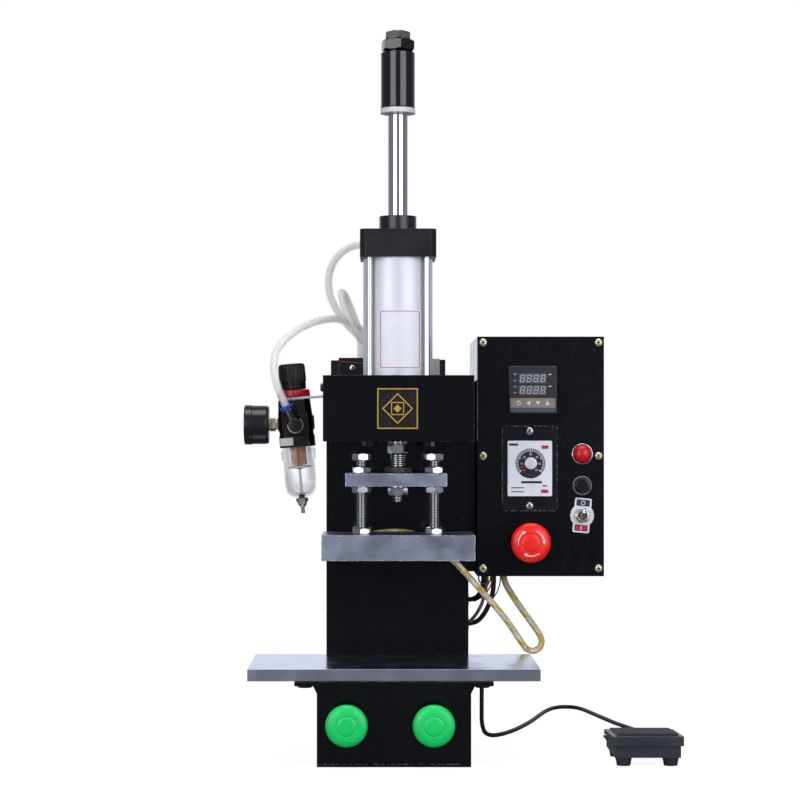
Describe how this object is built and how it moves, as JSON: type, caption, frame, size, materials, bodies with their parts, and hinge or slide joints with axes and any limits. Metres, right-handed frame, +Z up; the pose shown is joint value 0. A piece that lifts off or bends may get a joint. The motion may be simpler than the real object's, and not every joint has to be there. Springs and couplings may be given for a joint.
{
  "type": "pneumatic hot foil stamper",
  "caption": "Bench hot foil stamping press: C-frame with an air cylinder lowering a heated plate onto a work table, side control box, filter-regulator and foot switch.",
  "frame": {"origin": "on the underside of the base, straight below the axis of the press cylinder", "axes": "+Z up along the ram's axis, -Y towards the operator, +X to the operator's right where the control box is"},
  "size_m": [0.4284, 0.4822, 0.7193],
  "materials": {
    "black_paint": "gloss paint",
    "polished_aluminium": "polished",
    "machined_aluminium": "satin machined",
    "black_anodised": "satin anodised",
    "barrel_aluminium": "silver anodised",
    "chrome_steel": "hard chrome",
    "zinc_steel": "zinc plated",
    "blued_steel": "blackened",
    "gold_foil": "polished",
    "pale_brass": "plated",
    "bronze": "turned",
    "valve_aluminium": "blasted",
    "black_plastic": "moulded",
    "blue_plastic": "moulded",
    "clear_hose": "translucent",
    "red_plastic": "moulded",
    "clear_plastic": "clear",
    "sintered_bronze": "sintered",
    "needle_red": "matt",
    "controller_grey": "moulded",
    "timer_white": "printed",
    "lamp_red": "lens",
    "stop_red": "moulded",
    "palm_green": "moulded",
    "white_nylon": "turned",
    "white_enamel": "enamel",
    "heater_sheath": "drawn",
    "glass_sleeving": "braided",
    "black_rubber": "smooth",
    "pedal_plastic": "textured"
  },
  "bodies": {
    "root": {"base_housing": "black_paint", "base_bottom_plate": "black_paint", "work_table": "polished_aluminium", "column": "black_paint", "column_rear_cover": "black_paint", "head_housing": "black_paint", "head_badge": "gold_foil", "frame_bolts": "black_paint", "cover_screws": "pale_brass", "lower_cap": "black_anodised", "upper_cap": "black_anodised", "barrel": "barrel_aluminium", "tie_rods": "chrome_steel", "rod_bushes": "bronze", "valve_body": "valve_aluminium", "valve_coil": "black_plastic", "air_fittings": "blue_plastic", "air_hoses": "clear_hose", "regulator_bracket": "zinc_steel", "regulator_body": "black_plastic", "regulator_lock_ring": "red_plastic", "regulator_bowl": "clear_plastic", "filter_element": "sintered_bronze", "gauge_case": "black_plastic", "gauge_lens": "clear_plastic", "control_box": "black_paint", "control_panel": "black_paint", "temp_controller": "controller_grey", "timer_frame": "black_plastic", "timer_body": "timer_white", "pilot_lamp": "lamp_red", "fuse_holder": "black_plastic", "toggle_switch": "white_enamel", "estop_base": "black_plastic", "palm_button_bases": "black_plastic", "box_leads": "glass_sleeving", "pedal_base": "pedal_plastic", "foot_cord": "black_rubber", "cord_grommets": "black_rubber"},
    "ram": {"piston_rod": "chrome_steel", "piston": "machined_aluminium", "rod_nuts": "zinc_steel", "crosshead_plate": "machined_aluminium", "levelling_bolts": "zinc_steel", "heating_plate": "machined_aluminium", "heater_cartridges": "heater_sheath"},
    "stop_washer": {"bumper_washer": "white_nylon"},
    "stop_sleeve": {"adjuster_sleeve": "black_anodised"},
    "regulator_knob": {"regulator_knob": "black_plastic"},
    "drain": {"bowl_drain": "zinc_steel"},
    "gauge_needle": {"gauge_needle": "needle_red"},
    "valve_spool": {"valve_spool": "zinc_steel"},
    "timer_knob": {"timer_knob": "zinc_steel"},
    "estop_plunger": {"estop_plunger": "black_plastic"},
    "estop_head": {"estop_head": "stop_red"},
    "fuse_cap": {"fuse_cap": "black_plastic"},
    "toggle_lever": {"toggle_lever": "chrome_steel"},
    "palm_left": {"palm_button_left": "palm_green"},
    "palm_right": {"palm_button_right": "palm_green"},
    "treadle": {"pedal_treadle": "pedal_plastic"}
  },
  "joints": [
    {"name": "ram_slide", "type": "slide", "parent": "root", "child": "ram", "axis": [0, 0, -1], "range_m": [0, 0.1]},
    {"name": "stop_travel", "type": "slide", "parent": "ram", "child": "stop_washer", "axis": [0, 0, -1], "range_m": [0, 0.0015]},
    {"name": "stop_turn", "type": "hinge", "parent": "stop_washer", "child": "stop_sleeve", "pos_m": [0, 0, 0.66], "axis": [0, 0, 1], "range_deg": [0, 360]},
    {"name": "regulator_turn", "type": "hinge", "parent": "root", "child": "regulator_knob", "pos_m": [-0.10611, 0.03, 0.37285], "axis": [-0.0802, 0, 0.9968], "range_deg": [-540, 540]},
    {"name": "drain_turn", "type": "hinge", "parent": "root", "child": "drain", "pos_m": [-0.09624, 0.03, 0.25025], "axis": [-0.0802, 0, 0.9968], "range_deg": [0, 180]},
    {"name": "gauge_needle_turn", "type": "hinge", "parent": "root", "child": "gauge_needle", "pos_m": [-0.15094, 0.03, 0.32652], "axis": [1, 0, 0], "range_deg": [0, 270]},
    {"name": "spool_shift", "type": "slide", "parent": "root", "child": "valve_spool", "axis": [1, 0, 0], "range_m": [0, 0.004], "stiffness_N_per_m": 300},
    {"name": "timer_turn", "type": "hinge", "parent": "root", "child": "timer_knob", "pos_m": [0.1343, 0.028, 0.2875], "axis": [0, 1, 0], "range_deg": [0, 270]},
    {"name": "estop_press", "type": "slide", "parent": "root", "child": "estop_plunger", "axis": [0, 1, 0], "range_m": [0, 0.0045]},
    {"name": "estop_twist", "type": "hinge", "parent": "estop_plunger", "child": "estop_head", "pos_m": [0.1336, 0.018, 0.208], "axis": [0, 1, 0], "range_deg": [0, 45], "stiffness_Nm_per_rad": 0.03},
    {"name": "fuse_turn", "type": "hinge", "parent": "root", "child": "fuse_cap", "pos_m": [0.187, 0.034, 0.265], "axis": [0, 1, 0], "range_deg": [-60, 0]},
    {"name": "toggle_throw", "type": "hinge", "parent": "root", "child": "toggle_lever", "pos_m": [0.187, 0.037, 0.2347], "axis": [1, 0, 0], "range_deg": [0, 22]},
    {"name": "palm_left_press", "type": "slide", "parent": "root", "child": "palm_left", "axis": [0, 1, 0], "range_m": [0, 0.006], "stiffness_N_per_m": 300},
    {"name": "palm_right_press", "type": "slide", "parent": "root", "child": "palm_right", "axis": [0, 1, 0], "range_m": [0, 0.006], "stiffness_N_per_m": 300},
    {"name": "treadle_press", "type": "hinge", "parent": "root", "child": "treadle", "pos_m": [0.238, -0.026, 0.0202], "axis": [1, 0, 0], "range_deg": [0, 4.5], "stiffness_Nm_per_rad": 0.6, "springref_deg": -5.73}
  ],
  "couplings": [
    {"joint": "stop_travel", "follows": "stop_turn", "m_per_rad": 0.0002387}
  ]
}
